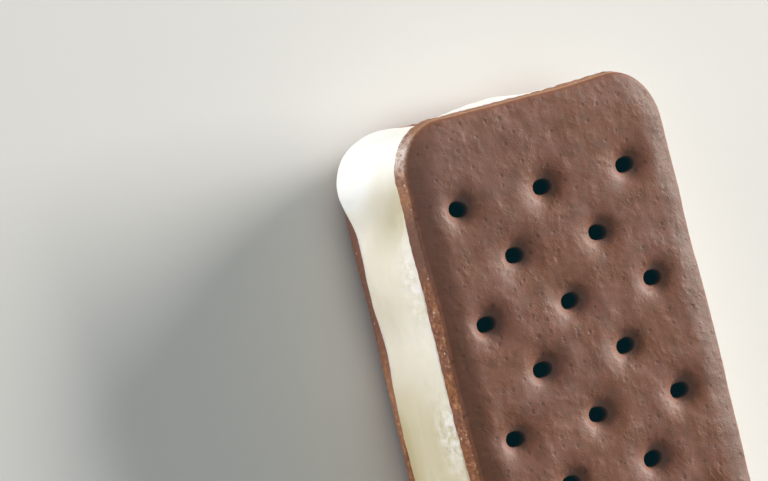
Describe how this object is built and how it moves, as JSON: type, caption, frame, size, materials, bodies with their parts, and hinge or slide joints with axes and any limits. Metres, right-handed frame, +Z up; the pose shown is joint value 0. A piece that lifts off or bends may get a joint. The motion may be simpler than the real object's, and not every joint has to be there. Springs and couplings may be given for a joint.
{
  "type": "ice cream sandwich",
  "caption": "Ice cream sandwich lying flat: a slab of pale ice cream held between soft dark wafers with rounded corners and rows of docking holes.",
  "frame": {"origin": "middle of the bounding box's footprint, on the surface that the lower wafer rests on", "axes": "+Z up through the layers from the lower wafer to the upper one, +Y along the length towards the end where the ice cream swells past one corner, +X across the width"},
  "size_m": [0.052, 0.1218, 0.0252],
  "materials": {
    "wafer": "soft baked, satin",
    "ice_cream": "smooth, moist"
  },
  "bodies": {
    "root": {"wafer_top": "wafer", "ice_cream": "ice_cream", "wafer_bottom": "wafer"}
  },
  "joints": []
}
